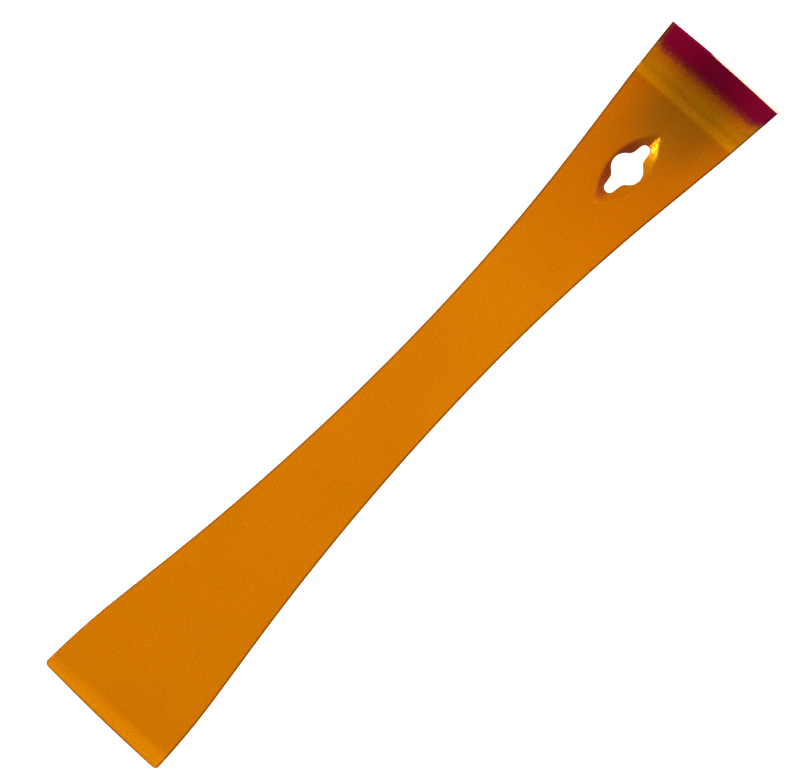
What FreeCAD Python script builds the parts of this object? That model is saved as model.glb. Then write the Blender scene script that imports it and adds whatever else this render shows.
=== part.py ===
"""Flat pry and scraper bar: one bent steel bar, its lacquer coat and the red coat on its hook."""
import FreeCAD
import Part
import os
from math import sin, cos, tan, atan, atan2, acos, radians, degrees, sqrt, hypot

# Driving dimensions in mm. Places along the bar are measured from the wide blade's edge, and
# the finished solids are moved so that the origin is the centre of the underside.
bar_length = 255.0            # blade edge to hook edge on the mid-line, seen from above
bar_thickness = 2.8           # over the coat
coat_thickness = 0.2
edge_round = 0.5              # rounding of the bar's long edges, over the coat

# the wide scraper blade
blade_half_width = 21.97
blade_flank_radius = 234.0
blade_widest_at = -3.3        # where its flanks would run parallel, just past the edge
blade_taper = 0.133           # slope of the straight flank that leads to the waist
blade_edge_radius = 590.0     # the edge is bowed outwards by about 0.4
blade_corner_radius = 1.3
blade_slope_length = 3.6      # short slope on the top face, down to the edge
blade_slope_angle = 5.0
blade_bevel_length = 10.0     # ground on the underside
blade_land = 0.8              # thickness left at the edge

# the slim handle
waist_at = 142.6
waist_half_width = 11.14

# the hook
hook_half_width = 20.38
hook_flank_radius = 380.0
hook_widest_at = 279.0
hook_taper = 0.118
bend_starts_at = 239.3
bend_inner_radius = 8.2
bend_angle = 63.6
bend_skew = 2.4               # the bend line isn't quite square to the bar
hook_edge_radius = 395.0      # the edge is bowed outwards by about 0.5
hook_bevel_length = 8.0       # ground on the outside of the hook
hook_land = 0.7               # thickness left at the edge, on the mid-line
hook_land_change = 0.025      # how much thinner it gets for each mm towards +Y
red_band_length = 10.7        # how far the red coat reaches down the hook

# the nail hole: a round hole with a tapered slot on each side, along the bar
hole_at = 216.5
hole_radius = 4.1
hole_centre_offset = 0.75     # each half of the round is struck from this far off the mid-line
slot_reach = 7.25             # centre of a slot's round end
slot_end_radius = 1.57
slot_taper = 0.138
hole_corner_radius = 2.7

# the dish round the nail hole: pointed at both ends, with a keel along the bar
dish_half_length = 13.65
dish_half_width = 5.78
dish_wall_angle = 20.0
dish_floor = 0.1              # height at which its cones are cut off, below the keel

# how far a cutting solid runs past the metal
clear = 20.0
side_reach = 30.0
bevel_overrun = 4.0
leg_overrun = 1.0
dish_overrun = 1.0

bend_sin = sin(radians(bend_angle))
bend_cos = cos(radians(bend_angle))
bend_centre_z = bar_thickness + bend_inner_radius
leg_length = (bar_length - bend_starts_at - (bend_inner_radius + hook_land) * bend_sin) / bend_cos

origin = FreeCAD.Vector(0, 0, 0)
x_axis = FreeCAD.Vector(1, 0, 0)
y_axis = FreeCAD.Vector(0, 1, 0)
z_axis = FreeCAD.Vector(0, 0, 1)
bend_line = FreeCAD.Vector(-tan(radians(bend_skew)), 1, 0)


def angle_of(point, centre):
    """Heading in degrees from a centre to a point."""
    return degrees(atan2(point[1] - centre[1], point[0] - centre[0]))


def upper_crossing(first, first_radius, second, second_radius):
    """The upper of the two points where two circles cross."""
    dx = second[0] - first[0]
    dy = second[1] - first[1]
    gap = hypot(dx, dy)
    turn = acos((first_radius ** 2 + gap ** 2 - second_radius ** 2) / (2 * first_radius * gap))
    headings = (atan2(dy, dx) + turn, atan2(dy, dx) - turn)
    points = [(first[0] + first_radius * cos(a), first[1] + first_radius * sin(a)) for a in headings]
    return max(points, key=lambda point: point[1])


def arc(centre, radius, start, end):
    """Arc edge in the XY plane from one angle to another, in degrees."""
    points = []
    for angle in (start, (start + end) / 2, end):
        across_x = centre[0] + radius * cos(radians(angle))
        across_y = centre[1] + radius * sin(radians(angle))
        points.append(FreeCAD.Vector(across_x, across_y, 0))
    return Part.Arc(*points).toShape()


def joining_line(before, after):
    """Straight edge between the nearest ends of two arcs."""
    pairs = [(a.Point, b.Point) for a in before.Vertexes for b in after.Vertexes]
    return Part.makeLine(*min(pairs, key=lambda pair: pair[0].distanceToPoint(pair[1])))


def closed_face(edges):
    return Part.Face(Part.Wire(Part.sortEdges(edges)[0]))


def upright(face, low, high):
    """Vertical prism of a face in the XY plane."""
    solid = face.extrude(z_axis * (high - low))
    solid.translate(z_axis * low)
    return solid


def side_face(corners):
    """Face in the XZ plane with straight sides, from its (x, z) corners."""
    points = [FreeCAD.Vector(x, 0, z) for x, z in corners]
    return Part.Face(Part.makePolygon(points + points[:1]))


def across(face, lean=y_axis):
    """Prism of a side face across the bar, or along another way that leans off it."""
    run = lean * (2 * side_reach)
    solid = face.extrude(run)
    solid.translate(run * -0.5)
    return solid


def waist_radius(taper, widest_at, half_width, flank_radius):
    """Radius of the waist arc that meets the straight flank without a corner."""
    angle = atan(taper)
    away = abs(widest_at - waist_at) - flank_radius * sin(angle)
    height = half_width - flank_radius * (1 - cos(angle))
    return (waist_half_width - height + taper * away) / (1 / cos(angle) - 1)


def plan_outline(inset):
    """The bar seen from above, with its outline moved inwards by inset."""
    blade_turn = degrees(atan(blade_taper))
    hook_turn = degrees(atan(hook_taper))
    blade_waist = waist_radius(blade_taper, blade_widest_at, blade_half_width, blade_flank_radius)
    hook_waist = waist_radius(hook_taper, hook_widest_at, hook_half_width, hook_flank_radius)
    edge_centre = (blade_edge_radius, 0.0)
    blade_centre = (blade_widest_at, blade_half_width - blade_flank_radius)
    hook_centre = (hook_widest_at, hook_half_width - hook_flank_radius)
    corner_centre = upper_crossing(
        blade_centre, blade_flank_radius - blade_corner_radius,
        edge_centre, blade_edge_radius - blade_corner_radius)
    corner_start = angle_of(corner_centre, edge_centre)
    corner_end = angle_of(corner_centre, blade_centre)

    edge = arc(edge_centre, blade_edge_radius - inset, 180, corner_start)
    corner = arc(corner_centre, blade_corner_radius - inset, corner_start, corner_end)
    blade_flank = arc(blade_centre, blade_flank_radius - inset, corner_end, 90 - blade_turn)
    blade_side = arc(
        (waist_at, waist_half_width + blade_waist), blade_waist + inset, 270 - blade_turn, 270)
    hook_side = arc(
        (waist_at, waist_half_width + hook_waist), hook_waist + inset, 270, 270 + hook_turn)
    hook_flank = arc(hook_centre, hook_flank_radius - inset, 90 + hook_turn, 90)
    far_corner = FreeCAD.Vector(hook_widest_at + clear, hook_half_width - inset, 0)
    far_side = Part.makeLine(FreeCAD.Vector(hook_widest_at, far_corner.y, 0), far_corner)

    upper = [
        edge, corner, blade_flank, joining_line(blade_flank, blade_side), blade_side,
        hook_side, joining_line(hook_side, hook_flank), hook_flank, far_side,
    ]
    lower = [piece.mirror(origin, y_axis) for piece in upper]
    far_end = Part.makeLine(far_corner, FreeCAD.Vector(far_corner.x, -far_corner.y, 0))
    return closed_face(upper + lower + [far_end])


def leg_point(along, out):
    """A place on the hook's straight leg, as (x, z).

    along is measured up the leg from the bend, and out from its inner face.
    """
    x = bend_starts_at + bend_inner_radius * bend_sin + along * bend_cos + out * bend_sin
    z = bend_centre_z - bend_inner_radius * bend_cos + along * bend_sin - out * bend_cos
    return x, z


def side_profile(inset):
    """The bar from the side: flat, then the bend, then the straight leg of the hook."""
    def bend(radius):
        turned = arc((0, 0), radius, -90, bend_angle - 90)
        turned.rotate(origin, x_axis, 90)
        turned.translate(FreeCAD.Vector(bend_starts_at, 0, bend_centre_z))
        return turned

    def corner(x, z):
        return FreeCAD.Vector(x, 0, z)

    inner = bend(bend_inner_radius + inset)
    outer = bend(bend_inner_radius + bar_thickness - inset)
    leg_end = leg_length + leg_overrun
    leg_inner = corner(*leg_point(leg_end, inset))
    leg_outer = corner(*leg_point(leg_end, bar_thickness - inset))
    under = corner(-clear, inset)
    over = corner(-clear, bar_thickness - inset)
    return closed_face([
        Part.makeLine(over, under),
        Part.makeLine(under, corner(bend_starts_at, inset)),
        outer,
        Part.makeLine(corner(*leg_point(0, bar_thickness - inset)), leg_outer),
        Part.makeLine(leg_outer, leg_inner),
        Part.makeLine(leg_inner, corner(*leg_point(0, inset))),
        inner,
        Part.makeLine(corner(bend_starts_at, bar_thickness - inset), over),
    ])


def hook_edge_trim():
    """Ring, square to the hook's leg, whose inner wall is the bowed edge of the hook."""
    normal = FreeCAD.Vector(bend_cos, 0, bend_sin).cross(bend_line).normalize()
    up_leg = bend_line.cross(normal).normalize()
    x, z = leg_point(leg_length, 0)
    foot = FreeCAD.Vector(x, 0, z) - up_leg * hook_edge_radius - normal * clear
    outside = Part.makeCylinder(hook_edge_radius + clear, 2 * clear, foot, normal)
    return outside.cut(Part.makeCylinder(hook_edge_radius, 2 * clear, foot, normal))


def blade_slope(inset):
    """What lies above the short slope on top of the blade's edge."""
    angle = radians(blade_slope_angle)
    start = blade_slope_length + inset * tan(angle / 2)
    top = bar_thickness - inset
    far = start - clear
    return across(side_face([
        (start, top),
        (far, top - clear * tan(angle)),
        (far, top + clear),
        (start, top + clear),
    ]))


def blade_bevel():
    """What the grinding takes off the underside of the blade."""
    edge_top = bar_thickness - blade_slope_length * tan(radians(blade_slope_angle))
    slope = (edge_top - blade_land) / blade_bevel_length
    heel = blade_bevel_length + clear
    return across(side_face([
        (heel, -clear * slope),
        (-clear, heel * slope),
        (-clear, -clear),
        (heel, -clear),
    ]))


def hook_bevel():
    """What the grinding takes off the outside of the hook, a little more towards +Y."""
    inwards = FreeCAD.Vector(-bend_sin, 0, bend_cos) * hook_land_change
    slope = (bar_thickness - hook_land) / hook_bevel_length
    low = leg_length - hook_bevel_length - bevel_overrun
    high = leg_length + bevel_overrun
    return across(side_face([
        leg_point(low, bar_thickness + bevel_overrun * slope),
        leg_point(high, hook_land - bevel_overrun * slope),
        leg_point(high, clear),
        leg_point(low, clear),
    ]), bend_line + inwards)


def nail_hole(grow):
    """Prism of the nail hole, grown outwards by grow."""
    taper = atan(slot_taper)
    taper_angle = degrees(taper)
    # the centre of the rounded corner, along the slot's side and square to it
    square = slot_reach * sin(taper) + slot_end_radius + hole_corner_radius
    reach = hole_radius + hole_corner_radius
    along = sqrt(reach ** 2 - (square - hole_centre_offset * cos(taper)) ** 2)
    along -= hole_centre_offset * sin(taper)
    corner_centre = (
        along * cos(taper) + square * sin(taper),
        square * cos(taper) - along * sin(taper))
    turn = angle_of(corner_centre, (0, hole_centre_offset))

    round_top = arc((0, hole_centre_offset), hole_radius + grow, turn, 180 - turn)
    slot_end = arc((slot_reach, 0), slot_end_radius + grow, taper_angle - 90, 90 - taper_angle)
    corner = arc(corner_centre, hole_corner_radius - grow, 180 + turn, 270 - taper_angle)
    side = joining_line(corner, slot_end)
    quarter = [corner, side]
    upper = [round_top] + quarter + [piece.mirror(origin, x_axis) for piece in quarter]
    lower = [piece.mirror(origin, y_axis) for piece in upper]
    ends = [slot_end, slot_end.mirror(origin, x_axis)]
    prism = upright(closed_face(upper + lower + ends), -clear, clear)
    prism.translate(x_axis * hole_at)
    return prism


def dish(grow):
    """The dish, which is what two upside-down cones have in common, grown by grow."""
    angle = radians(dish_wall_angle)
    rim_radius = (dish_half_length ** 2 + dish_half_width ** 2) / (2 * dish_half_width)
    offset = rim_radius - dish_half_width
    depth = bar_thickness - dish_floor
    low_radius = rim_radius + grow / sin(angle) - depth / tan(angle)
    high_radius = rim_radius + grow / sin(angle) + dish_overrun / tan(angle)
    cones = []
    for side in (1, -1):
        foot = FreeCAD.Vector(hole_at, side * offset, dish_floor)
        cones.append(Part.makeCone(low_radius, high_radius, depth + dish_overrun, foot))
    return cones[0].common(cones[1])


def stands_upright(face):
    """Whether a face is a wall, square to the bar's flat."""
    low_u, high_u, low_v, high_v = face.ParameterRange
    return abs(face.normalAt((low_u + high_u) / 2, (low_v + high_v) / 2).z) < 1e-6


def rim_edges(body):
    """Edges between the outline's walls and the faces above and below, except the hook's edge."""
    chosen = []
    for edge in body.Edges:
        middle = edge.valueAt((edge.FirstParameter + edge.LastParameter) / 2)
        at_hook_edge = middle.z > bend_centre_z and edge.Length < 1.5 * bar_thickness
        walls = [face for face in body.ancestorsOfType(edge, Part.Face) if stands_upright(face)]
        if len(walls) == 1 and not at_hook_edge:
            chosen.append(edge)
    return chosen


def bar_body(inset):
    """The whole bar with its painted faces moved inwards by inset."""
    body = across(side_profile(inset), bend_line)
    body = body.common(upright(plan_outline(inset), -clear, 2 * clear))
    body = body.cut(hook_edge_trim())
    body = body.cut(blade_slope(inset))
    body = body.makeFillet(edge_round - inset, rim_edges(body))
    for cutter in (dish(inset), nail_hole(inset), blade_bevel(), hook_bevel()):
        body = body.cut(cutter)
    return body


def red_reach():
    """Everything from the red coat's lower edge up the leg of the hook."""
    low = leg_length - red_band_length
    high = leg_length + clear
    return across(side_face([
        leg_point(low, -clear),
        leg_point(high, -clear),
        leg_point(high, clear),
        leg_point(low, clear),
    ]), bend_line)


def main():
    os.makedirs("parts", exist_ok=True)
    bar = bar_body(0)
    steel = bar_body(coat_thickness)
    coat = bar.cut(steel)
    parts = {
        "steel_bar": steel,
        "orange_coat": coat.cut(red_reach()),
        "red_tip_coat": coat.common(red_reach()),
    }
    box = bar.optimalBoundingBox(False, False)
    to_origin = FreeCAD.Vector(-box.Center.x, -box.Center.y, 0)
    print("bar %.2f x %.2f x %.2f mm" % (box.XLength, box.YLength, box.ZLength))
    print("blade edge at x %.3f, nail hole at x %.3f" % (to_origin.x, hole_at + to_origin.x))
    for name, shape in parts.items():
        shape.translate(to_origin)
        shape.exportStep("parts/" + name + ".step")
        solids = len(shape.Solids)
        print("%s: %d solid, valid %s, %.1f cubic mm" % (name, solids, shape.isValid(), shape.Volume))


main()
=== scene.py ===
import math
import bpy
import numpy as np
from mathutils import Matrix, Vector


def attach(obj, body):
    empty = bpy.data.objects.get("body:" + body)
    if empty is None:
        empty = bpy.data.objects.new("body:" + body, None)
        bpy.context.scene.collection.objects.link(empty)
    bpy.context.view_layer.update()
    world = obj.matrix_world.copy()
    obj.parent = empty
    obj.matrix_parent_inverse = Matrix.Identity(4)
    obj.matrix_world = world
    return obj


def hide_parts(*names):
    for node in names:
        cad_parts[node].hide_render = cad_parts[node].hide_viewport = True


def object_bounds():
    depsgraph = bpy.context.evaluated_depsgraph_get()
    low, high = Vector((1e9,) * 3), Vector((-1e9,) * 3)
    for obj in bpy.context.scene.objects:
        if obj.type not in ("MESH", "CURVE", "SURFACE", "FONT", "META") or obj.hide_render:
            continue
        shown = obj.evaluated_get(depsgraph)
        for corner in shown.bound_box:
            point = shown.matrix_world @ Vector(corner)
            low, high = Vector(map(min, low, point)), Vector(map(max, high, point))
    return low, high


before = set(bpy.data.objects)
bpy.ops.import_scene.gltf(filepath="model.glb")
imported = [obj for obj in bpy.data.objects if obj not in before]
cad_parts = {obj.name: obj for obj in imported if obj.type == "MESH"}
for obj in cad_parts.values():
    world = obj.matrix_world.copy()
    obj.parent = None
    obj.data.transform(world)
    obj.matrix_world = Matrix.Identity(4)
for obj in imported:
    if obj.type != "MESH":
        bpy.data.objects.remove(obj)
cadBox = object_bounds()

print("scene: frame loaded")

# Lengths are in mm and angles in degrees until a mesh is made.
# Places along the bar run from the wide blade's edge, which is the low X face of the frame's box.
mm = 0.001
bladeEdgeX = cadBox[0][0] / mm

bar = {
    "length": 255.0,
    "thickness": 2.8,
    "coat": 0.2,
    "edgeRound": 0.5,
    "waistAt": 142.6,
    "waistHalfWidth": 11.14,
    "sideColumns": 7,       # faces across each side of the bar, outside the dish's window
    "roundFaces": 6,        # faces round each long edge
    "wallFaces": 8,         # faces down its wall
    "roundShare": 0.6,      # the round's share of a wall that a bevel has cut short
    "handleFrom": 18.0,     # where the mesh's even rows start
    "handleFaces": 88,      # faces along the handle
    "sharpAngle": 24.0,     # edges sharper than this are drawn sharp
}

blade = {
    "halfWidth": 21.97,
    "flankRadius": 234.0,
    "widestAt": -3.3,
    "taper": 0.133,
    "edgeRadius": 590.0,
    "cornerRadius": 1.3,
    "slopeLength": 3.6,
    "slopeAngle": 5.0,
    "slopeSoftness": 0.6,   # how far the slope's top line is rounded over
    "slopeOverAt": 20.0,    # flat from here on
    "bowOverAt": 2.6,       # the edge's bow has left the mesh's rows by here
    "bevelLength": 10.0,
    "land": 0.8,
    "cornerFaces": 5,       # faces round half a corner
    "bevelFaces": 5,        # faces from the bevel to the handle
    # mesh rows from the corner to the bevel, as shares of the way
    "flankStops": (0, 0.07, 0.15, 0.2, 0.235, 0.27, 0.33, 0.45, 0.6, 0.79, 1),
}

hook = {
    "halfWidth": 20.38,
    "flankRadius": 380.0,
    "widestAt": 279.0,
    "taper": 0.118,
    "bendAt": 239.3,
    "bendRadius": 8.2,
    "bendAngle": 63.6,
    "skew": 2.4,
    "edgeRadius": 395.0,
    "bevelLength": 8.0,
    "land": 0.7,
    "landChange": 0.025,
    "redBand": 10.7,
    "leanStart": 4.0,       # the mesh's rows start to lean this far before the bend
    "leanLength": 3.0,
    "nearFaces": 6,         # faces from the dish to the bend
    "bendFaces": 33,
    "legFaces": (6, 4, 12),     # up the leg: below the red coat, to the bevel, to the edge
}

nailHole = {
    "at": 216.5,
    "radius": 4.1,
    "offset": 0.75,
    "slotReach": 7.25,
    "slotRadius": 1.57,
    "slotTaper": 0.138,
    "cornerRadius": 2.7,
    "edgeRound": 0.25,
    "roundFaces": 4,
    "wallFaces": 4,
}

dish = {
    "halfLength": 13.65,
    "halfWidth": 5.78,
    "wallAngle": 20.0,
    "rimSoftness": 0.16,    # how far the rim is rounded over
    "keelSoftness": 0.03,
    "innerRings": 14,
    "outerRings": 12,
    "innerCrowding": 1.5,   # above 1, the rings crowd towards the dish's rim
    "outerCrowding": 1.6,
    "windowFaces": 24,      # faces along half the window round the dish
    "windowColumns": 15,    # faces across half the window
    "windowHalfLength": 17.5,
    "windowShare": 0.6,     # how much of the bar's width the window takes
}

bendSin = math.sin(math.radians(hook["bendAngle"]))
bendCos = math.cos(math.radians(hook["bendAngle"]))
skewSlope = math.tan(math.radians(hook["skew"]))
bendLength = hook["bendRadius"] * math.radians(hook["bendAngle"])
legLength = (bar["length"] - hook["bendAt"] - (hook["bendRadius"] + hook["land"]) * bendSin) / bendCos
legAt = hook["bendAt"] + bendLength
hookEdgeAt = legAt + legLength
redFrom = hookEdgeAt - hook["redBand"]
bladeTopAtEdge = bar["thickness"] - blade["slopeLength"] * math.tan(math.radians(blade["slopeAngle"]))
bladeBevelSlope = (bladeTopAtEdge - blade["land"]) / blade["bevelLength"]
hookBevelSlope = (bar["thickness"] - hook["land"]) / hook["bevelLength"]
blockRows = len(blade["flankStops"]) - 1 + blade["cornerFaces"]     # mesh rows in the blade's end
weldSteps = 5000        # steps to the mm in which corners are compared


def waistArcRadius(end):
    # radius of the waist arc that the end's straight flank touches:
    # (waist - flank height + slope x distance) / (1 / cos(slope angle) - 1)
    turn = math.atan(end["taper"])
    away = abs(end["widestAt"] - bar["waistAt"]) - end["flankRadius"] * math.sin(turn)
    height = end["halfWidth"] - end["flankRadius"] * (1 - math.cos(turn))
    return (bar["waistHalfWidth"] - height + end["taper"] * away) / (1 / math.cos(turn) - 1)


def halfWidth(x):
    # from the waist to each end: a hollow arc, w + R - sqrt(R^2 - d^2), then a straight flank,
    # then a full arc, end width - r + sqrt(r^2 - e^2), that ends parallel
    x = np.asarray(x, float)
    width = np.zeros(x.shape)
    for end, side in ((blade, x < bar["waistAt"]), (hook, x >= bar["waistAt"])):
        turn = math.atan(end["taper"])
        arcRadius = waistArcRadius(end)
        fromWaist = np.abs(x - bar["waistAt"])
        toEnd = np.minimum(np.abs(x - end["widestAt"]), end["flankRadius"])
        lineStart = arcRadius * math.sin(turn)
        hollow = bar["waistHalfWidth"] + arcRadius - np.sqrt(
            arcRadius ** 2 - np.minimum(fromWaist, lineStart) ** 2)
        straight = hollow + end["taper"] * np.maximum(fromWaist - lineStart, 0)
        full = end["halfWidth"] - end["flankRadius"] + np.sqrt(end["flankRadius"] ** 2 - toEnd ** 2)
        near = toEnd < end["flankRadius"] * math.sin(turn)
        width = np.where(side, np.where(near, full, straight), width)
    return width


def inSpace(run, y, height):
    # from the flat pattern to the bent bar, with run measured along the upper face.
    # In the bend a point turns about the bend's centre, at the bend radius plus its depth.
    # On the leg it goes straight on. The bend line leans along the bar by the skew.
    along = run + skewSlope * y
    turned = np.clip(along - hook["bendAt"], 0, bendLength) / hook["bendRadius"]
    radius = hook["bendRadius"] + bar["thickness"] - height
    upLeg = np.maximum(along - legAt, 0)
    x = np.minimum(along, hook["bendAt"]) + radius * np.sin(turned) + upLeg * bendCos
    z = bar["thickness"] + hook["bendRadius"] - radius * np.cos(turned) + upLeg * bendSin
    return x - skewSlope * y, z


def softFloor(value, softness):
    # rises from 0 like value, with a rounded start: (v + sqrt(v^2 + s^2)) / 2
    return (value + np.sqrt(value ** 2 + softness ** 2)) / 2


def softLower(a, b, softness):
    # the lower of two surfaces, with a rounded ridge where they cross:
    # (a + b - sqrt((a - b)^2 + s^2)) / 2
    return (a + b - np.sqrt((a - b) ** 2 + softness ** 2)) / 2


def dishDepth(run, y):
    # two cone walls that face each other, each with depth = tan(wall angle) x (rim radius - distance),
    # and the dish is the shallower of the two
    slope = math.tan(math.radians(dish["wallAngle"]))
    rimRadius = (dish["halfLength"] ** 2 + dish["halfWidth"] ** 2) / (2 * dish["halfWidth"])
    offset = rimRadius - dish["halfWidth"]
    x = run - nailHole["at"]
    left = slope * (rimRadius - np.hypot(x, y + offset))
    right = slope * (rimRadius - np.hypot(x, y - offset))
    depth = softLower(left, right, dish["keelSoftness"])
    return softFloor(depth, dish["rimSoftness"]) * (np.abs(x) < dish["windowHalfLength"])


def topHeight(run, y):
    # flat, less the dish, less a short slope down to the blade's edge
    slope = math.tan(math.radians(blade["slopeAngle"]))
    atEdge = slope * softFloor(blade["slopeLength"] - run, blade["slopeSoftness"])
    return bar["thickness"] - dishDepth(run, y) - atEdge * (run < blade["slopeOverAt"])


def lowHeight(run, y):
    # how high the two ground bevels cut into the underside
    atBlade = (blade["bevelLength"] - run) * bladeBevelSlope
    land = hook["land"] - hook["landChange"] * y
    atHook = bar["thickness"] - land - (hookEdgeAt - run - skewSlope * y) * hookBevelSlope
    return np.maximum(atBlade, atHook)


def stops(places, faces):
    # mesh lines at the given places, with this many equal faces between each two
    spans = [np.linspace(a, b, n + 1)[:-1] for a, b, n in zip(places[:-1], places[1:], faces)]
    return np.concatenate(spans + [[places[-1]]])


def barRows(skin):
    # mesh rows across the bar, from the blade's bevel to the hook's edge, and each landmark's row.
    # The inner skin's own bevel rows lie where the bevels reach it.
    window = dish["windowHalfLength"]
    places = {
        "bladeBevel": blade["bevelLength"] - skin / bladeBevelSlope,
        "handle": bar["handleFrom"],
        "windowStart": nailHole["at"] - window,
        "hole": nailHole["at"],
        "windowEnd": nailHole["at"] + window,
        "bend": hook["bendAt"],
        "leg": legAt,
        "red": redFrom,
        "hookBevel": hookEdgeAt - hook["bevelLength"] + skin / hookBevelSlope,
        "hookEdge": hookEdgeAt,
    }
    half = dish["windowFaces"]
    faces = [blade["bevelFaces"], bar["handleFaces"], half, half,
             hook["nearFaces"], hook["bendFaces"], *hook["legFaces"]]
    rowAt = dict(zip(places, np.cumsum([0] + faces)))
    return stops(tuple(places.values()), faces), rowAt


def rowPoints(rows, share, inset, height, bevelRow):
    # share runs from -1 at one flank to 1 at the other. Each line leans with the bend once past it,
    # then with the hook's bevel, and bows like the hook's edge at the end.
    lean = np.clip((rows - hook["bendAt"] + hook["leanStart"]) / hook["leanLength"], 0, 1) * skewSlope
    atBevel = hook["landChange"] / hookBevelSlope
    bevelLean = np.interp(rows, (redFrom, bevelRow, hookEdgeAt), (0, atBevel, 0))
    bow = np.interp(rows, (bevelRow, hookEdgeAt), (0, 0.5 / hook["edgeRadius"]))
    y = share * (halfWidth(rows) - inset)
    for _ in range(4):
        run = rows - (lean + bevelLean) * y - bow * y ** 2
        x, _z = inSpace(run, y, height)
        y = share * (halfWidth(x) - inset)
    return run, y


def bladePath(inset, skin):
    # half of the blade's outline, from the bevel line along the flank, round the corner and
    # along the bowed edge to the mid-line. Flank, corner and edge are arcs that touch.
    flankCentre = (blade["widestAt"], blade["halfWidth"] - blade["flankRadius"])
    a = blade["flankRadius"] - blade["cornerRadius"]
    b = blade["edgeRadius"] - blade["cornerRadius"]
    dx, dy = blade["edgeRadius"] - flankCentre[0], -flankCentre[1]
    gap = math.hypot(dx, dy)
    heading = math.atan2(dy, dx) + math.acos((a * a + gap * gap - b * b) / (2 * a * gap))
    centre = (flankCentre[0] + a * math.cos(heading), flankCentre[1] + a * math.sin(heading))
    edgeHeading = math.atan2(centre[1], centre[0] - blade["edgeRadius"])
    bevelAt = blade["bevelLength"] - skin / bladeBevelSlope
    fromX = flankCentre[0] + blade["flankRadius"] * math.cos(heading)
    flankX = fromX + (bevelAt - fromX) * np.array(blade["flankStops"][:0:-1])
    flankX = np.broadcast_to(flankX[:, None], (len(flankX), inset.shape[1]))
    corners = 2 * blade["cornerFaces"]
    cut = len(flankX)
    flankY = flankCentre[1] + np.sqrt((blade["flankRadius"] - inset[:cut]) ** 2
                                      - (flankX - flankCentre[0]) ** 2)
    turn = np.linspace(heading, edgeHeading, corners + 1)[:, None]
    radius = blade["cornerRadius"] - inset[cut:cut + corners + 1]
    cornerX, cornerY = centre[0] + radius * np.cos(turn), centre[1] + radius * np.sin(turn)
    edgeFaces = len(inset) - cut - corners - 1
    swing = np.linspace(edgeHeading, math.pi, edgeFaces + 1)[1:, None]
    radius = blade["edgeRadius"] - inset[cut + corners + 1:]
    edgeX, edgeY = blade["edgeRadius"] + radius * np.cos(swing), radius * np.sin(swing)
    return np.concatenate([flankX, cornerX, edgeX]), np.concatenate([flankY, cornerY, edgeY])


def acrossShares():
    # where the mesh's columns lie, as shares of half the width: even steps across the window, then
    # even steps out to the flank
    half = stops((0, dish["windowShare"], 1), (dish["windowColumns"], bar["sideColumns"]))
    return np.concatenate([-half[:0:-1], half])


def bladeBlock(skin, endY):
    # fills the blade's end between its outline and the bevel line. The lines across start with the
    # bow of the edge and soon run straight, and the columns spread out from the corners.
    half = len(endY) // 2
    inset = np.full((blockRows + 1 + half, 1), bar["edgeRound"])
    x, y = (part[:, 0] for part in bladePath(inset, skin))
    sideX, sideY = x[:blockRows + 1][::-1, None], y[:blockRows + 1][::-1, None]
    edgeX = np.concatenate([x[blockRows:], x[blockRows:-1][::-1]])[None]
    edgeY = np.concatenate([-y[blockRows:], y[blockRows:-1][::-1]])[None]
    straight = np.clip((sideX - sideX[0]) / (blade["bowOverAt"] - sideX[0]), 0, 1)
    run = sideX + (1 - straight) * (edgeX - edgeX[0, 0])
    spread = (sideX - sideX[0]) / (sideX[-1] - sideX[0])
    blended = (1 - spread) * edgeY + spread * endY[None]
    share = blended / blended[:, -1:]
    return run, share * sideY


def profile(outerRound, skin, top, low, faces):
    # down a wall with rounded edges, as (inset, height): a quarter circle, a straight wall and a
    # quarter circle, cut off at the height low. Each point's place on it is a count of faces.
    roundFaces, wallFaces = faces
    radius = outerRound - skin
    wallEnd = roundFaces + wallFaces
    quarter = 2 / math.pi
    inTop = np.arccos(np.clip(1 - (top - skin - low) / radius, 0, 1)) * quarter * roundFaces
    wallSpan = top - 2 * outerRound
    onWall = roundFaces + wallFaces * (top - outerRound - low) / wallSpan
    inLow = wallEnd + np.arcsin(np.clip(1 - (low - skin) / radius, 0, 1)) * quarter * roundFaces
    last = np.where(low > top - outerRound, inTop, np.where(low > outerRound, onWall, inLow))
    count = np.arange(wallEnd + roundFaces + 1)[None]
    first = np.minimum(roundFaces, bar["roundShare"] * last)
    place = np.where(
        count <= roundFaces, first * count / roundFaces,
        first + (last - first) * (count - roundFaces) / (wallEnd))
    upper = np.clip(place / roundFaces, 0, 1) / quarter
    lower = np.clip((place - wallEnd) / roundFaces, 0, 1) / quarter
    down = np.clip((place - roundFaces) / wallFaces, 0, 1)
    inset = skin + radius * (1 - np.sin(upper)) + radius * (1 - np.cos(lower))
    height = top - skin - radius * (1 - np.cos(upper)) - wallSpan * down - radius * np.sin(lower)
    return inset, height


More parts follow.
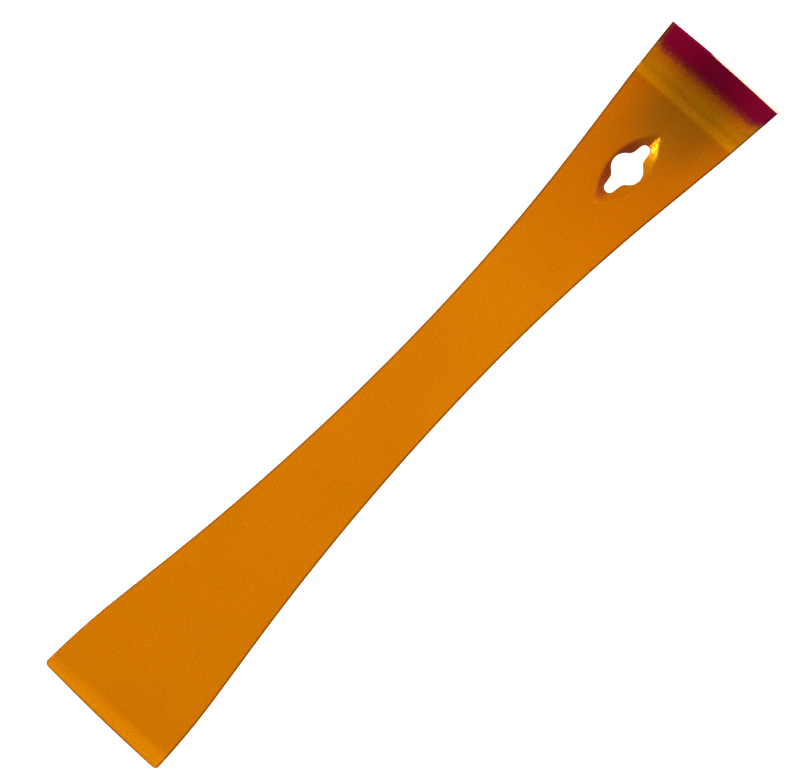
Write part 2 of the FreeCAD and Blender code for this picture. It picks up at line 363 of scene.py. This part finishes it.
def holeQuarter(grow):
    # a quarter of the nail hole, from the slot's end round to the top of the round: the slot's
    # end arc, its straight side, the rounded corner and the round, each for its share of the way
    taper = math.atan(nailHole["slotTaper"])
    square = nailHole["slotReach"] * math.sin(taper) + nailHole["slotRadius"] + nailHole["cornerRadius"]
    reach = nailHole["radius"] + nailHole["cornerRadius"]
    offset = nailHole["offset"]
    along = math.sqrt(reach ** 2 - (square - offset * math.cos(taper)) ** 2) - offset * math.sin(taper)
    cornerX = along * math.cos(taper) + square * math.sin(taper)
    cornerY = square * math.cos(taper) - along * math.sin(taper)
    turn = math.atan2(cornerY - offset, cornerX)
    quarter = math.pi / 2
    lengths = np.array([
        nailHole["slotRadius"] * (quarter - taper),
        nailHole["slotReach"] * math.cos(taper) - along,
        nailHole["cornerRadius"] * (quarter - taper - turn),
        nailHole["radius"] * (quarter - turn),
    ])
    ends = np.concatenate([[0], np.cumsum(lengths) / lengths.sum()])
    steps = dish["windowFaces"] + dish["windowColumns"]
    share = np.linspace(0, 1, steps + 1)[:, None]
    part = [np.clip((share - ends[i]) / (ends[i + 1] - ends[i]), 0, 1) for i in range(4)]

    def onArc(centre, radius, angle):
        return centre[0] + radius * np.cos(angle), centre[1] + radius * np.sin(angle)

    slot = onArc((nailHole["slotReach"], 0), nailHole["slotRadius"] + grow, part[0] * (quarter - taper))
    corner = onArc((cornerX, cornerY), nailHole["cornerRadius"] - grow,
                   3 * quarter - taper - part[2] * (quarter - taper - turn))
    top = onArc((0, offset), nailHole["radius"] + grow, turn + part[3] * (quarter - turn))
    cornerFoot = onArc((cornerX, cornerY), nailHole["cornerRadius"] - grow, 3 * quarter - taper)
    slotEnd = onArc((nailHole["slotReach"], 0), nailHole["slotRadius"] + grow, quarter - taper)
    out = []
    for i in (0, 1):
        side = slotEnd[i] + (cornerFoot[i] - slotEnd[i]) * part[1]
        line = np.where(share < ends[1], slot[i], side)
        line = np.where(share > ends[2], corner[i], line)
        out.append(np.where(share > ends[3], top[i], line))
    return out


def fourQuarters(x, y):
    # a quarter outline mirrored into a closed ring, from +X through +Y, -X and -Y
    ringX = np.concatenate([x, -x[-2::-1], -x[1:], x[-2::-1]])
    ringY = np.concatenate([y, y[-2::-1], -y[1:], -y[-2::-1]])
    return ringX, ringY


def dishRings(run, y, rowAt):
    # rings round the nail hole: its outline, then the dish's rim, then the window's edge, with
    # straight blends between them, (1 - t) x one + t x the next
    middle = y.shape[1] // 2
    side = dish["windowColumns"]
    low, high = rowAt["windowStart"] + blockRows, rowAt["windowEnd"] + blockRows
    left, right = middle - side, middle + side

    def windowEdge(a):
        return np.concatenate([
            a[high, middle:right], a[high:low:-1, right], a[low, right:left:-1],
            a[low:high, left], a[high, left:middle + 1]])

    edge = (windowEdge(run), windowEdge(y))
    holeX, holeY = fourQuarters(*holeQuarter(np.full((1, 1), nailHole["edgeRound"])))
    hole = (holeX[:, 0] + nailHole["at"], holeY[:, 0])
    rimRadius = (dish["halfLength"] ** 2 + dish["halfWidth"] ** 2) / (2 * dish["halfWidth"])
    steps = dish["windowFaces"] + dish["windowColumns"]
    turn = np.linspace(math.asin(dish["halfLength"] / rimRadius), 0, steps + 1)
    rimX, rimY = fourQuarters(rimRadius * np.sin(turn),
                              rimRadius * np.cos(turn) - rimRadius + dish["halfWidth"])
    rim = (rimX + nailHole["at"], rimY)
    inner = 1 - (1 - np.linspace(0, 1, dish["innerRings"] + 1)[:, None]) ** dish["innerCrowding"]
    outer = np.linspace(0, 1, dish["outerRings"] + 1)[1:, None] ** dish["outerCrowding"]
    return [np.concatenate([(1 - inner) * h + inner * r, (1 - outer) * r + outer * e])
            for h, r, e in zip(hole, rim, edge)]


def skinPatches(skin):
    # the coat's outer surface (skin 0) or its inner one, as grids of (run, y, height): the top with
    # a window left in it, the rings that fill the window above and below, the underside without
    # its bevels, the hole's wall and the wall round the bar. Also the row where the red coat starts
    rows, rowAt = barRows(skin)
    shares = acrossShares()
    bevelRow = rows[rowAt["hookBevel"]]
    both = []
    for height in (bar["thickness"] - skin, skin):
        run, y = rowPoints(rows[:, None], shares[None], bar["edgeRound"], height, bevelRow)
        startRun, startY = bladeBlock(skin, y[0])
        both.append((np.concatenate([startRun[:-1], run]), np.concatenate([startY[:-1], y])))
    cells = np.ones((len(rows) + blockRows - 1, len(shares) - 1), bool)
    middle, side = len(shares) // 2, dish["windowColumns"]
    window = slice(rowAt["windowStart"] + blockRows, rowAt["windowEnd"] + blockRows)
    cells[window, middle - side:middle + side] = False
    rowCells = np.broadcast_to(np.arange(len(cells))[:, None], cells.shape)
    run, y = both[0]
    patches = [(run, y, topHeight(run, y) - skin, cells, rowCells, False)]
    ringRun, ringY = dishRings(run, y, rowAt)
    ringCells = np.ones((len(ringRun) - 1, ringRun.shape[1] - 1), bool)
    noRows = np.zeros(ringCells.shape, int)
    patches.append((ringRun, ringY, topHeight(ringRun, ringY) - skin, ringCells, noRows, False))
    patches.append((ringRun, ringY, np.full(ringRun.shape, skin), ringCells, noRows, True))
    run, y = both[1]
    low = cells.copy()
    low[:blockRows] = False
    low[rowAt["hookBevel"] + blockRows:] = False
    patches.append((run, y, np.full(run.shape, skin), low, rowCells, True))

    top = topHeight(ringRun[0], ringY[0])[:, None]
    inset, height = profile(nailHole["edgeRound"], skin, top, np.full(top.shape, skin),
                            (nailHole["roundFaces"], nailHole["wallFaces"]))
    wallX, wallY = holeWall(inset)
    wallCells = np.ones((wallX.shape[0] - 1, wallX.shape[1] - 1), bool)
    patches.append((wallX, wallY, height, wallCells, np.zeros(wallCells.shape, int), False))

    def path(inset, height):
        # once round the bar: down one flank, round the blade and up the other flank
        count = len(rows) - 1
        sides = []
        half = blockRows + middle + 1
        for sign, a, b in ((1, inset[:count + half], height[:count + half]),
                           (-1, inset[::-1][:count + half], height[::-1][:count + half])):
            run, y = rowPoints(rows[:0:-1, None], sign, a[:count], b[:count], bevelRow)
            endX, endY = bladePath(a[count:], skin)
            sides.append((np.concatenate([run, endX]), np.concatenate([y, sign * endY])))
        return [np.concatenate([p, q[-2::-1]]) for p, q in zip(*sides)]

    length = 2 * (len(rows) - 1 + blockRows + middle) + 1
    one = np.ones((length, 1))
    at, across = path(one * bar["edgeRound"], one * (bar["thickness"] - skin))
    top = topHeight(at, across)
    at, across = path(one * skin, one * bar["thickness"] / 2)
    low = np.maximum(lowHeight(at, across), skin)
    inset, height = profile(bar["edgeRound"], skin, top, low, (bar["roundFaces"], bar["wallFaces"]))
    run, y = path(inset, height)
    cells = np.ones((length - 1, inset.shape[1] - 1), bool)
    index = np.arange(length - 1)
    fromHook = np.minimum(index, index[::-1])
    rowOf = np.maximum(len(rows) - 2 + blockRows - fromHook, 0)
    patches.append((run, y, height, cells, np.broadcast_to(rowOf[:, None], cells.shape), True))
    return patches, rowAt["red"] + blockRows


def holeWall(inset):
    # the nail hole's outline, grown at each height by the wall's inset there
    steps = dish["windowFaces"] + dish["windowColumns"]
    index = np.arange(4 * steps + 1)
    quarterOf = np.minimum(index // steps, 3)
    local = np.where(quarterOf % 2 == 0, index - quarterOf * steps, (quarterOf + 1) * steps - index)
    x, y = holeQuarter(inset[:steps + 1])
    signX = np.where((quarterOf == 1) | (quarterOf == 2), -1, 1)[:, None]
    signY = np.where(quarterOf >= 2, -1, 1)[:, None]
    return nailHole["at"] + signX * x[local], signY * y[local]


def weldedSkin(patches):
    # joins the patches into one surface. Corners that share a place, rounded to the weld's steps,
    # become one. The rounding is shifted a little, so that no place lies half-way between steps
    corners, faces, rowOf, start = [], [], [], 0
    for run, y, height, cells, rows, flipped in patches:
        index = start + np.arange(run.size).reshape(run.shape)
        quads = np.stack([index[:-1, :-1], index[1:, :-1], index[1:, 1:], index[:-1, 1:]], -1)
        quads = quads[cells]
        faces.append(quads[:, ::-1] if flipped else quads)
        rowOf.append(rows[cells])
        corners.append(np.stack([run, y, np.broadcast_to(height, run.shape)], -1).reshape(-1, 3))
        start += run.size
    corners, faces, rowOf = (np.concatenate(part) for part in (corners, faces, rowOf))
    places = np.round(corners * weldSteps + 0.37).astype(np.int64)
    _, first, same = np.unique(places, axis=0, return_index=True, return_inverse=True)
    return corners, first, same.reshape(-1)[faces], rowOf


def coatShell(outer, inner, first, faces):
    # a closed coat: the outer surface, the inner one facing the other way, and a strip between
    # their open edges, which are the edges that only one face has
    used, quads = np.unique(faces, return_inverse=True)
    quads = quads.reshape(faces.shape)
    edges = np.stack([quads, np.roll(quads, -1, 1)], -1).reshape(-1, 2)
    key = np.sort(edges, 1)
    _, where, count = np.unique(key, axis=0, return_inverse=True, return_counts=True)
    rim = edges[count[where.reshape(-1)] == 1]
    points = np.concatenate([outer[first][used], inner[first][used]])
    n = len(used)
    strip = np.stack([rim[:, 1], rim[:, 0], rim[:, 0] + n, rim[:, 1] + n], -1)
    return points, np.concatenate([quads, quads[:, ::-1] + n, strip])


def makePiece(name, shell, material, nodeName):
    # one object from a shell's corners (run, y, height) and its four-sided faces. Each corner keeps
    # its place on the flat pattern, in mm, and its distance from the nearest edge, for the finish
    points, faces = shell
    run, y, height = points.T
    x, z = inSpace(run, y, height)
    mesh = bpy.data.meshes.new(name)
    mesh.vertices.add(len(points))
    mesh.vertices.foreach_set("co", (np.stack([x + bladeEdgeX, y, z], -1) * mm).ravel())
    mesh.loops.add(faces.size)
    mesh.loops.foreach_set("vertex_index", faces.ravel().astype(np.int32))
    mesh.polygons.add(len(faces))
    mesh.polygons.foreach_set("loop_start", np.arange(0, faces.size, 4, dtype=np.int32))
    mesh.update(calc_edges=True)
    mesh.shade_smooth()
    mesh.set_sharp_from_angle(angle=math.radians(bar["sharpAngle"]))
    place = mesh.attributes.new("place", "FLOAT_VECTOR", "POINT")
    place.data.foreach_set("vector", np.stack([run + skewSlope * y, y, height], -1).ravel())
    rim = mesh.attributes.new("fromRim", "FLOAT", "POINT")
    rim.data.foreach_set("value", np.minimum(halfWidth(x) - np.abs(y), run).astype(np.float32))
    mesh.materials.append(material)
    piece = bpy.data.objects.new(name, mesh)
    bpy.context.scene.collection.objects.link(piece)
    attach(piece, "root")
    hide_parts(nodeName)
    return piece


def node(tree, kind, inputs, **settings):
    # a shader node with its settings, and its inputs by number or name: values or other sockets
    made = tree.nodes.new("ShaderNode" + kind)
    for key, value in settings.items():
        setattr(made, key, value)
    for key, value in inputs.items():
        if isinstance(value, bpy.types.NodeSocket):
            tree.links.new(value, made.inputs[key])
        else:
            made.inputs[key].default_value = value
    return made


def maths(tree, operation, first, second=0.0, third=0.0):
    return node(tree, "Math", {0: first, 1: second, 2: third}, operation=operation).outputs[0]


def product(tree, first, *others):
    for other in others:
        first = maths(tree, "MULTIPLY", first, other)
    return first


def distance(tree, value, place):
    return maths(tree, "ABSOLUTE", maths(tree, "SUBTRACT", value, place))


def ramp(tree, value, start, stop, low=0.0, high=1.0):
    # a smooth step from low at start to high at stop
    inputs = {"Value": value, "From Min": start, "From Max": stop, "To Min": low, "To Max": high}
    return node(tree, "MapRange", inputs, interpolation_type="SMOOTHSTEP").outputs[0]


def mixed(tree, share, first, second, blend="MIX"):
    made = node(tree, "Mix", {0: share}, data_type="RGBA", blend_type=blend)
    for socket, value in ((made.inputs[6], first), (made.inputs[7], second)):
        if isinstance(value, bpy.types.NodeSocket):
            tree.links.new(value, socket)
        else:
            socket.default_value = (*value, 1)
    return made.outputs[2]


def grain(tree, scale, detail=2.0, roughness=0.5, stretch=None):
    # noise on the object's own coordinates. scale is in lumps to the metre
    place = node(tree, "TexCoord", {}).outputs["Object"]
    if stretch is not None:
        place = node(tree, "Mapping", {"Vector": place, "Scale": stretch}).outputs[0]
    inputs = {"Vector": place, "Scale": scale, "Detail": detail, "Roughness": roughness}
    return node(tree, "TexNoise", inputs).outputs["Fac"]


def bump(tree, shader, height, strength, rise, under=None):
    inputs = {"Height": height, "Strength": strength, "Distance": rise}
    if under is not None:
        inputs["Normal"] = under
    normal = node(tree, "Bump", inputs).outputs[0]
    tree.links.new(normal, shader.inputs["Normal"])
    return normal


def newFinish(name):
    material = bpy.data.materials.new(name)
    material.use_nodes = True
    return material, material.node_tree, material.node_tree.nodes["Principled BSDF"]


# Places are in mm: along the bar they start at the blade's edge and, past the bend, follow the leg;
# across it they are Y; heights are from the underside; fromRim is from the nearest flank or edge.
# A pair of places says where a colour starts and where it is full. Four numbers add its strengths.
# Grains are lumps to the metre, detail and roughness.
lacquer = {
    "orange": (0.78, 0.222, 0.0008),
    "nearHookShade": (0.705, 0.174, 0.0008),           # painted shade: darker and more red towards the hook, which takes away light
    "nearHookShadeAlong": (165, 212),
    # painted highlight: the blade's edge lighter, where its slope faces the light
    "bladeEdgeHighlight": (1.0, 0.310, 0.0008),
    "bladeEdgeHighlightAlong": (6.0, 1.8),
    "beforeBendShadow": (0.45, 0.138, 0.004),              # painted shadow of the hook: dark in the middle just before the bend
    "beforeBendShadowAlong": (214, 236),
    "beforeBendShadowMiddle": -1.5,
    "beforeBendShadowAcross": (17, 4),
    "bendShade": (0.62, 0.212, 0.003),              # painted shade in the bend and up the leg
    "yellow": (0.92, 0.310, 0.001),             # painted highlight at both sides of the bend's painted shade, and on the dish's lit wall
    "bendAlong": (238.2, 240.2),
    "yellowMiddle": -1.0,
    "yellowAcross": (5, 16),
    "yellowBySide": (2, 12, 1, 0.8),            # a little less of it on the +Y side
    "bendHighlightLines": ((239.7, 0.16), (242.2, 0.07), (248.4, 0.14)),    # painted highlight lines across the bend: place along, extra brightness
    "bendHighlightLineWidth": (0.4, 0.05),
    "bendHighlightLineBreaks": (0.35, 0.6, 0.3, 1),     # how the broad grain breaks them up
    "rimWidth": (0.85, 0.2),                    # painted shade: a thin dark line on the rounded edges inside the flanks, darker on the -Y side
    "rimHeight": (2.2, 2.5),
    "rimShadeBySide": (5, -5, 0.42, 0.52),
    "fineGrain": (2900, 3.0, 0.65),
    "coarseGrain": (700, 2.0, 0.5),
    "broadGrain": (45, 2.0, 0.5),
    "toneGrain": (2500, 1.5, 0.6),              # moves the hue between red and yellow
    "fineShade": (0.34, 0.66, 0.90, 1.10),
    "broadShade": (0.3, 0.7, 0.98, 1.02),
    "toneShade": (0.36, 0.64, 0.85, 1.15),
    "metallic": 0.42,
    "specular": 0.4,
    "shine": (1.0, 0.32, 0.004),
    "roughness": 0.29,
    "roughnessChange": 0.10,
    "peelBump": (0.3, 0.00003),                 # strength, height in metres
    "fineBump": (0.25, 0.000012),
}

dishFinish = {
    "along": (195, 200),
    "top": (2.82, 2.45),                        # the rim fades in below the bar's top face
    "floor": (1.2, 1.5),                        # and the hole's wall is left out
    "fromRim": (1.5, 3.0),
    "shadedWallRed": (0.33, 0.050, 0.014),            # painted shade on the wall on the +Y side
    "shadedWallAcross": (-0.8, 0.0),
    "shadedWallStart": (199, 214, 0.55, 1.1),
    "shadedWallEnd": (229, 221, 0.1, 1),
    "shadedWallGrain": (0.35, 0.6, 0.6, 1),
    "brightAcross": (-0.3, -0.9),               # painted highlight on the wall on the -Y side
    "brightAlong": (205, 222),
    "brightShare": 0.8,
    "glint": (1.0, 0.62, 0.02),                 # painted glints: yellow spots near its end
    "glintAlong": (222.5, 225),
    "glintGrain": (900, 1.0, 0.5),
    "glintBlotches": (0.42, 0.58),
}

redSpray = {
    "start": 251.9,                             # half-way into the spray's edge, on the mid-line
    "lean": 0.03,
    "fade": 6.0,                                # half the length of the speckled edge
    "corner": (3.0, 0.4, 0, 2.6),               # the edge curves back at the flanks
    "speckleGrain": (4200, 1.0, 0.5),
    "speckleStrength": 4.2,
    "landed": (0.1, 1.25),
    "firstSpecks": (0.0, 0.25),
    # painted shade: the band is darker in the middle than at its sides
    "maroon": (0.19, 0.0, 0.028),
    "maroonSide": (0.31, 0.0, 0.041),
    "maroonAcross": (1, 17),
    "margin": (0.36, 0.045, 0.014),             # browner along the +Y flank
    "marginFromRim": (1.5, 0.6),
    "marginAcross": (4, 14),
    "marginShare": 0.8,
    "metallic": 0.25,
    "specular": 0.04,
    "shine": (0.6, 0.0, 0.05),
}


def placeOf(tree):
    found = node(tree, "Attribute", {}, attribute_name="place")
    parts = node(tree, "SeparateXYZ", {0: found.outputs["Vector"]}).outputs
    fromRim = node(tree, "Attribute", {}, attribute_name="fromRim").outputs["Fac"]
    return parts[0], parts[1], parts[2], fromRim


def orangeColour(tree, along, across):
    # the orange, from the blade's edge to the bend and up the leg, with painted light in it: a painted
    # highlight at the blade's edge, painted shade towards the hook, a painted shadow of the hook before
    # the bend, and painted shade and highlight in the bend
    # painted shade towards the hook
    nearHookShade = ramp(tree, along, *lacquer["nearHookShadeAlong"])
    colour = mixed(tree, nearHookShade, lacquer["orange"], lacquer["nearHookShade"])
    # painted highlight at the blade's edge
    colour = mixed(tree, ramp(tree, along, *lacquer["bladeEdgeHighlightAlong"]), colour, lacquer["bladeEdgeHighlight"])
    # painted shadow of the hook, darkest in the middle before the bend
    centred = ramp(tree, distance(tree, across, lacquer["beforeBendShadowMiddle"]), *lacquer["beforeBendShadowAcross"])
    beforeBendShadow = product(tree, ramp(tree, along, *lacquer["beforeBendShadowAlong"]), centred)
    colour = mixed(tree, beforeBendShadow, colour, lacquer["beforeBendShadow"])
    # painted shade in the middle of the bend, painted highlight at its sides
    sides = ramp(tree, distance(tree, across, lacquer["yellowMiddle"]), *lacquer["yellowAcross"])
    sides = product(tree, sides, ramp(tree, across, *lacquer["yellowBySide"]))
    bent = mixed(tree, sides, lacquer["bendShade"], lacquer["yellow"])
    return mixed(tree, ramp(tree, along, *lacquer["bendAlong"]), colour, bent)


def dishColour(tree, colour, place, fine):
    # the dish's two walls: painted shade in dark red towards +Y, a yellow painted highlight with painted
    # glints as bright spots towards -Y
    along, across, height, fromRim = place
    inDish = product(tree, ramp(tree, height, *dishFinish["top"]),
                     ramp(tree, along, *dishFinish["along"]),
                     ramp(tree, height, *dishFinish["floor"]),
                     ramp(tree, fromRim, *dishFinish["fromRim"]))
    # painted shade on the dish's +Y wall
    shadedWall = product(tree, ramp(tree, across, *dishFinish["shadedWallAcross"]), inDish,
                       ramp(tree, along, *dishFinish["shadedWallStart"]),
                       ramp(tree, along, *dishFinish["shadedWallEnd"]),
                       ramp(tree, fine, *dishFinish["shadedWallGrain"]))
    colour = mixed(tree, shadedWall, colour, dishFinish["shadedWallRed"])
    # painted highlight on the dish's -Y wall
    brightWall = product(tree, ramp(tree, across, *dishFinish["brightAcross"]), inDish,
                         ramp(tree, along, *dishFinish["brightAlong"]))
    colour = mixed(tree, product(tree, brightWall, dishFinish["brightShare"]), colour, lacquer["yellow"])
    # painted glints near the -Y wall's end
    glintSpots = ramp(tree, grain(tree, *dishFinish["glintGrain"]), *dishFinish["glintBlotches"])
    glintSpots = product(tree, glintSpots, brightWall, ramp(tree, along, *dishFinish["glintAlong"]))
    return mixed(tree, glintSpots, colour, dishFinish["glint"])


def sprayCover(tree, along, across, fromRim):
    # how much red spray has landed: none below the band, then specks that close up.
    # The band starts further down the leg on the +Y side, and its corners are round
    start = maths(tree, "MULTIPLY_ADD", across, -redSpray["lean"], redSpray["start"])
    corner = ramp(tree, fromRim, *redSpray["corner"])
    reach = maths(tree, "SUBTRACT", maths(tree, "SUBTRACT", along, start), corner)
    cover = ramp(tree, reach, -redSpray["fade"], redSpray["fade"], 0, 2)
    speckle = maths(tree, "SUBTRACT", grain(tree, *redSpray["speckleGrain"]), 0.5)
    specks = product(tree, speckle, redSpray["speckleStrength"])
    landed = ramp(tree, maths(tree, "ADD", cover, specks), *redSpray["landed"])
    return product(tree, landed, ramp(tree, cover, *redSpray["firstSpecks"]))


def sprayColour(tree, across, fromRim):
    # darkest in the middle, which is painted shade, and browner along the +Y flank
    # painted shade: darker in the middle of the band
    towardFlank = ramp(tree, distance(tree, across, 0.0), *redSpray["maroonAcross"])
    colour = mixed(tree, towardFlank, redSpray["maroon"], redSpray["maroonSide"])
    margin = product(tree, ramp(tree, fromRim, *redSpray["marginFromRim"]),
                     ramp(tree, across, *redSpray["marginAcross"]), redSpray["marginShare"])
    return mixed(tree, margin, colour, redSpray["margin"])


def shadeOf(tree, place, fine, broad):
    # light and dark over the colours: random grain, painted highlight lines across the bend and a
    # painted shade line on the rounded edges inside the flanks
    along, across, height, fromRim = place
    shade = product(tree, ramp(tree, fine, *lacquer["fineShade"]),
                    ramp(tree, broad, *lacquer["broadShade"]))
    # painted highlight lines where the bend starts, inside it and where the leg starts
    for at, brighter in lacquer["bendHighlightLines"]:
        mark = product(tree, ramp(tree, distance(tree, along, at), *lacquer["bendHighlightLineWidth"]),
                       ramp(tree, broad, *lacquer["bendHighlightLineBreaks"]))
        shade = product(tree, shade, maths(tree, "MULTIPLY_ADD", mark, brighter, 1.0))
    # painted shade on the rounded edges inside the flanks
    rim = product(tree, ramp(tree, fromRim, *lacquer["rimWidth"]),
                  ramp(tree, across, *lacquer["rimShadeBySide"]), ramp(tree, height, *lacquer["rimHeight"]))
    return product(tree, shade, maths(tree, "SUBTRACT", 1.0, rim))


def lacquerFinish(name, shine):
    # both coats: orange lacquer with the red spray over it, one colour running into the other, with
    # painted shade and painted highlights laid into the colours.
    # shine is the dictionary whose gloss the coat has
    material, tree, shader = newFinish(name)
    place = placeOf(tree)
    along, across, height, fromRim = place
    fine = grain(tree, *lacquer["fineGrain"])
    coarse = grain(tree, *lacquer["coarseGrain"])
    broad = grain(tree, *lacquer["broadGrain"])
    colour = dishColour(tree, orangeColour(tree, along, across), place, fine)
    cover = sprayCover(tree, along, across, fromRim)
    colour = mixed(tree, cover, colour, sprayColour(tree, across, fromRim))
    shade = shadeOf(tree, place, fine, broad)
    tone = product(tree, shade, ramp(tree, grain(tree, *lacquer["toneGrain"]), *lacquer["toneShade"]))
    shades = node(tree, "CombineXYZ", {0: shade, 1: tone, 2: shade}).outputs[0]
    colour = mixed(tree, 1.0, colour, shades, "MULTIPLY")
    tree.links.new(colour, shader.inputs["Base Color"])
    shader.inputs["Metallic"].default_value = shine["metallic"]
    shader.inputs["Specular IOR Level"].default_value = shine["specular"]
    shader.inputs["Specular Tint"].default_value = (*shine["shine"], 1)
    smoothest = lacquer["roughness"] - lacquer["roughnessChange"] / 2
    rough = maths(tree, "MULTIPLY_ADD", coarse, lacquer["roughnessChange"], smoothest)
    tree.links.new(rough, shader.inputs["Roughness"])
    peel = bump(tree, shader, coarse, *lacquer["peelBump"])
    bump(tree, shader, fine, *lacquer["fineBump"], peel)
    return material


# The edge colours' places are in metres, in the frame's own coordinates
steel = {
    "bright": (0.62, 0.60, 0.56),
    "dull": (0.42, 0.40, 0.37),
    "scratchGrain": (900, 4.0, 0.65),
    "scratchStretch": (6, 0.12, 6),         # long across the bar
    "scratchShade": (0.3, 0.7),
    "patchGrain": (120, 2.0, 0.5),
    "patchShade": (0.55, 0.8, 0, 0.3),
    "edgeBrown": (0.30, 0.21, 0.13),        # browner at the top of the hook's ground edge, and dark red there towards +Y
    "edgeDarkRed": (0.018, 0.001, 0.005),
    "edgeDarkRedY": (0.002, 0.006),
    "edgeColourHeight": (0.0215, 0.0220),
    "roughness": 0.34,
    "roughnessChange": 0.2,
    "scratchBump": (0.3, 0.00002),
}


def steelFinish():
    # ground steel, with fine scratches across the bar's length
    material, tree, shader = newFinish("ground_steel")
    scratches = grain(tree, *steel["scratchGrain"], steel["scratchStretch"])
    patches = grain(tree, *steel["patchGrain"])
    colour = mixed(tree, ramp(tree, scratches, *steel["scratchShade"]), steel["dull"], steel["bright"])
    colour = mixed(tree, ramp(tree, patches, *steel["patchShade"]), colour, steel["dull"])
    place = node(tree, "TexCoord", {}).outputs["Object"]
    _x, y, z = node(tree, "SeparateXYZ", {0: place}).outputs
    # the top of the hook's ground edge: browner, and dark red towards +Y
    edgeColour = mixed(tree, ramp(tree, y, *steel["edgeDarkRedY"]), steel["edgeBrown"], steel["edgeDarkRed"])
    colour = mixed(tree, ramp(tree, z, *steel["edgeColourHeight"]), colour, edgeColour)
    tree.links.new(colour, shader.inputs["Base Color"])
    shader.inputs["Metallic"].default_value = 1.0
    smoothest = steel["roughness"] - steel["roughnessChange"] / 2
    rough = maths(tree, "MULTIPLY_ADD", scratches, steel["roughnessChange"], smoothest)
    tree.links.new(rough, shader.inputs["Roughness"])
    bump(tree, shader, scratches, *steel["scratchBump"])
    return material


outerPatches, redRow = skinPatches(0.0)
innerPatches, redRow = skinPatches(bar["coat"])
outer, first, faces, rowOf = weldedSkin(outerPatches)
inner = weldedSkin(innerPatches)[0]
orangeShell = coatShell(outer, inner, first, faces[rowOf < redRow])
redShell = coatShell(outer, inner, first, faces[rowOf >= redRow])
makePiece("orangeLacquer", orangeShell, lacquerFinish("orangeLacquer", lacquer),
          "orange_coat")
makePiece("redTipLacquer", redShell, lacquerFinish("redTipLacquer", redSpray),
          "red_tip_coat")
print("scene: lacquer made,", len(orangeShell[1]) + len(redShell[1]), "faces")

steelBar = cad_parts["steel_bar"]
steelBar.data.materials.clear()
steelBar.data.materials.append(steelFinish())
print("scene: steel finished")

# Lengths are in metres here, but for the view's centre and width, which are in mm
studio = {
    "floorColour": (0.9, 0.9, 0.9),
    "floorRoughness": 0.8,
    "floorSpecular": 0.2,
    "floorGlow": 0.9,
    "floorReach": 4.0,
    "floorZ": -0.0002,
    "surround": 0.19,
    # each softbox: its heading in the bar's plane, elevation, distance, size and watts
    "overheadBox": ((0, 1), 90, 1.6, (1.6, 1.6), 3.4),
    "keyBox": ((-0.47, 0.88), 53, 0.9, (0.1, 0.1), 1.8),
    "farBox": ((1, -0.05), 42, 1.2, (0.9, 0.5), 7.5),
    "lowBox": ((1, -0.05), 21, 1.2, (1.0, 0.3), 9.0),
    "fillBox": ((-1, 0.1), 30, 1.2, (1.4, 0.9), 1.0),
    "cameraHeight": 1.2,    # above the bar's top face
    "centre": (-1.29, 3.36),
    "turn": 46.090,         # the view's right-hand way lies this far below the bar's +X
    "viewWidth": 227.31,    # how much of the bar's own plane the view shows across
    "sensorWidth": 36,
    "clip": (0.05, 20),
}


def softbox(name, toward, elevation, away, size, watts):
    # a rectangular light that faces the middle of the bar
    heading = Vector((toward[0], toward[1], 0)).normalized() * math.cos(math.radians(elevation))
    heading.z = math.sin(math.radians(elevation))
    light = bpy.data.lights.new(name, "AREA")
    light.shape = "RECTANGLE"
    light.size, light.size_y = size
    light.energy = watts
    lamp = bpy.data.objects.new(name, light)
    lamp.location = heading * away
    lamp.rotation_euler = heading.to_track_quat("Z", "Y").to_euler()
    bpy.context.scene.collection.objects.link(lamp)


def makeFloor():
    # a flat glowing square under the bar
    mesh = bpy.data.meshes.new("floor")
    reach = studio["floorReach"]
    mesh.from_pydata([(-reach, -reach, 0), (reach, -reach, 0), (reach, reach, 0), (-reach, reach, 0)],
                     [], [(0, 1, 2, 3)])
    floor = bpy.data.objects.new("floor", mesh)
    floor.location.z = studio["floorZ"]
    bpy.context.scene.collection.objects.link(floor)
    material, tree, shader = newFinish("plainFloor")
    shader.inputs["Base Color"].default_value = (*studio["floorColour"], 1)
    shader.inputs["Roughness"].default_value = studio["floorRoughness"]
    shader.inputs["Specular IOR Level"].default_value = studio["floorSpecular"]
    shader.inputs["Emission Color"].default_value = (1, 1, 1, 1)
    shader.inputs["Emission Strength"].default_value = studio["floorGlow"]
    mesh.materials.append(material)
    floor.visible_glossy = False        # the lacquer's edges don't mirror the bright floor


makeFloor()
world = bpy.data.worlds.new("surround")
world.use_nodes = True
world.node_tree.nodes["Background"].inputs[0].default_value = (1, 1, 1, 1)
world.node_tree.nodes["Background"].inputs[1].default_value = studio["surround"]
bpy.context.scene.world = world
for boxName in ("overheadBox", "keyBox", "farBox", "lowBox", "fillBox"):
    softbox(boxName, *studio[boxName])

camera = bpy.data.objects.new("camera", bpy.data.cameras.new("camera"))
camera.data.sensor_width = studio["sensorWidth"]
camera.data.lens = studio["sensorWidth"] * studio["cameraHeight"] / (studio["viewWidth"] * mm)
camera.data.clip_start, camera.data.clip_end = studio["clip"]
camera.location = (studio["centre"][0] * mm, studio["centre"][1] * mm,
                   studio["cameraHeight"] + bar["thickness"] * mm)
camera.rotation_euler = (0, 0, math.radians(-studio["turn"]))
bpy.context.scene.collection.objects.link(camera)
bpy.context.scene.camera = camera
bpy.context.scene.view_settings.view_transform = "Standard"
print("scene: studio made")
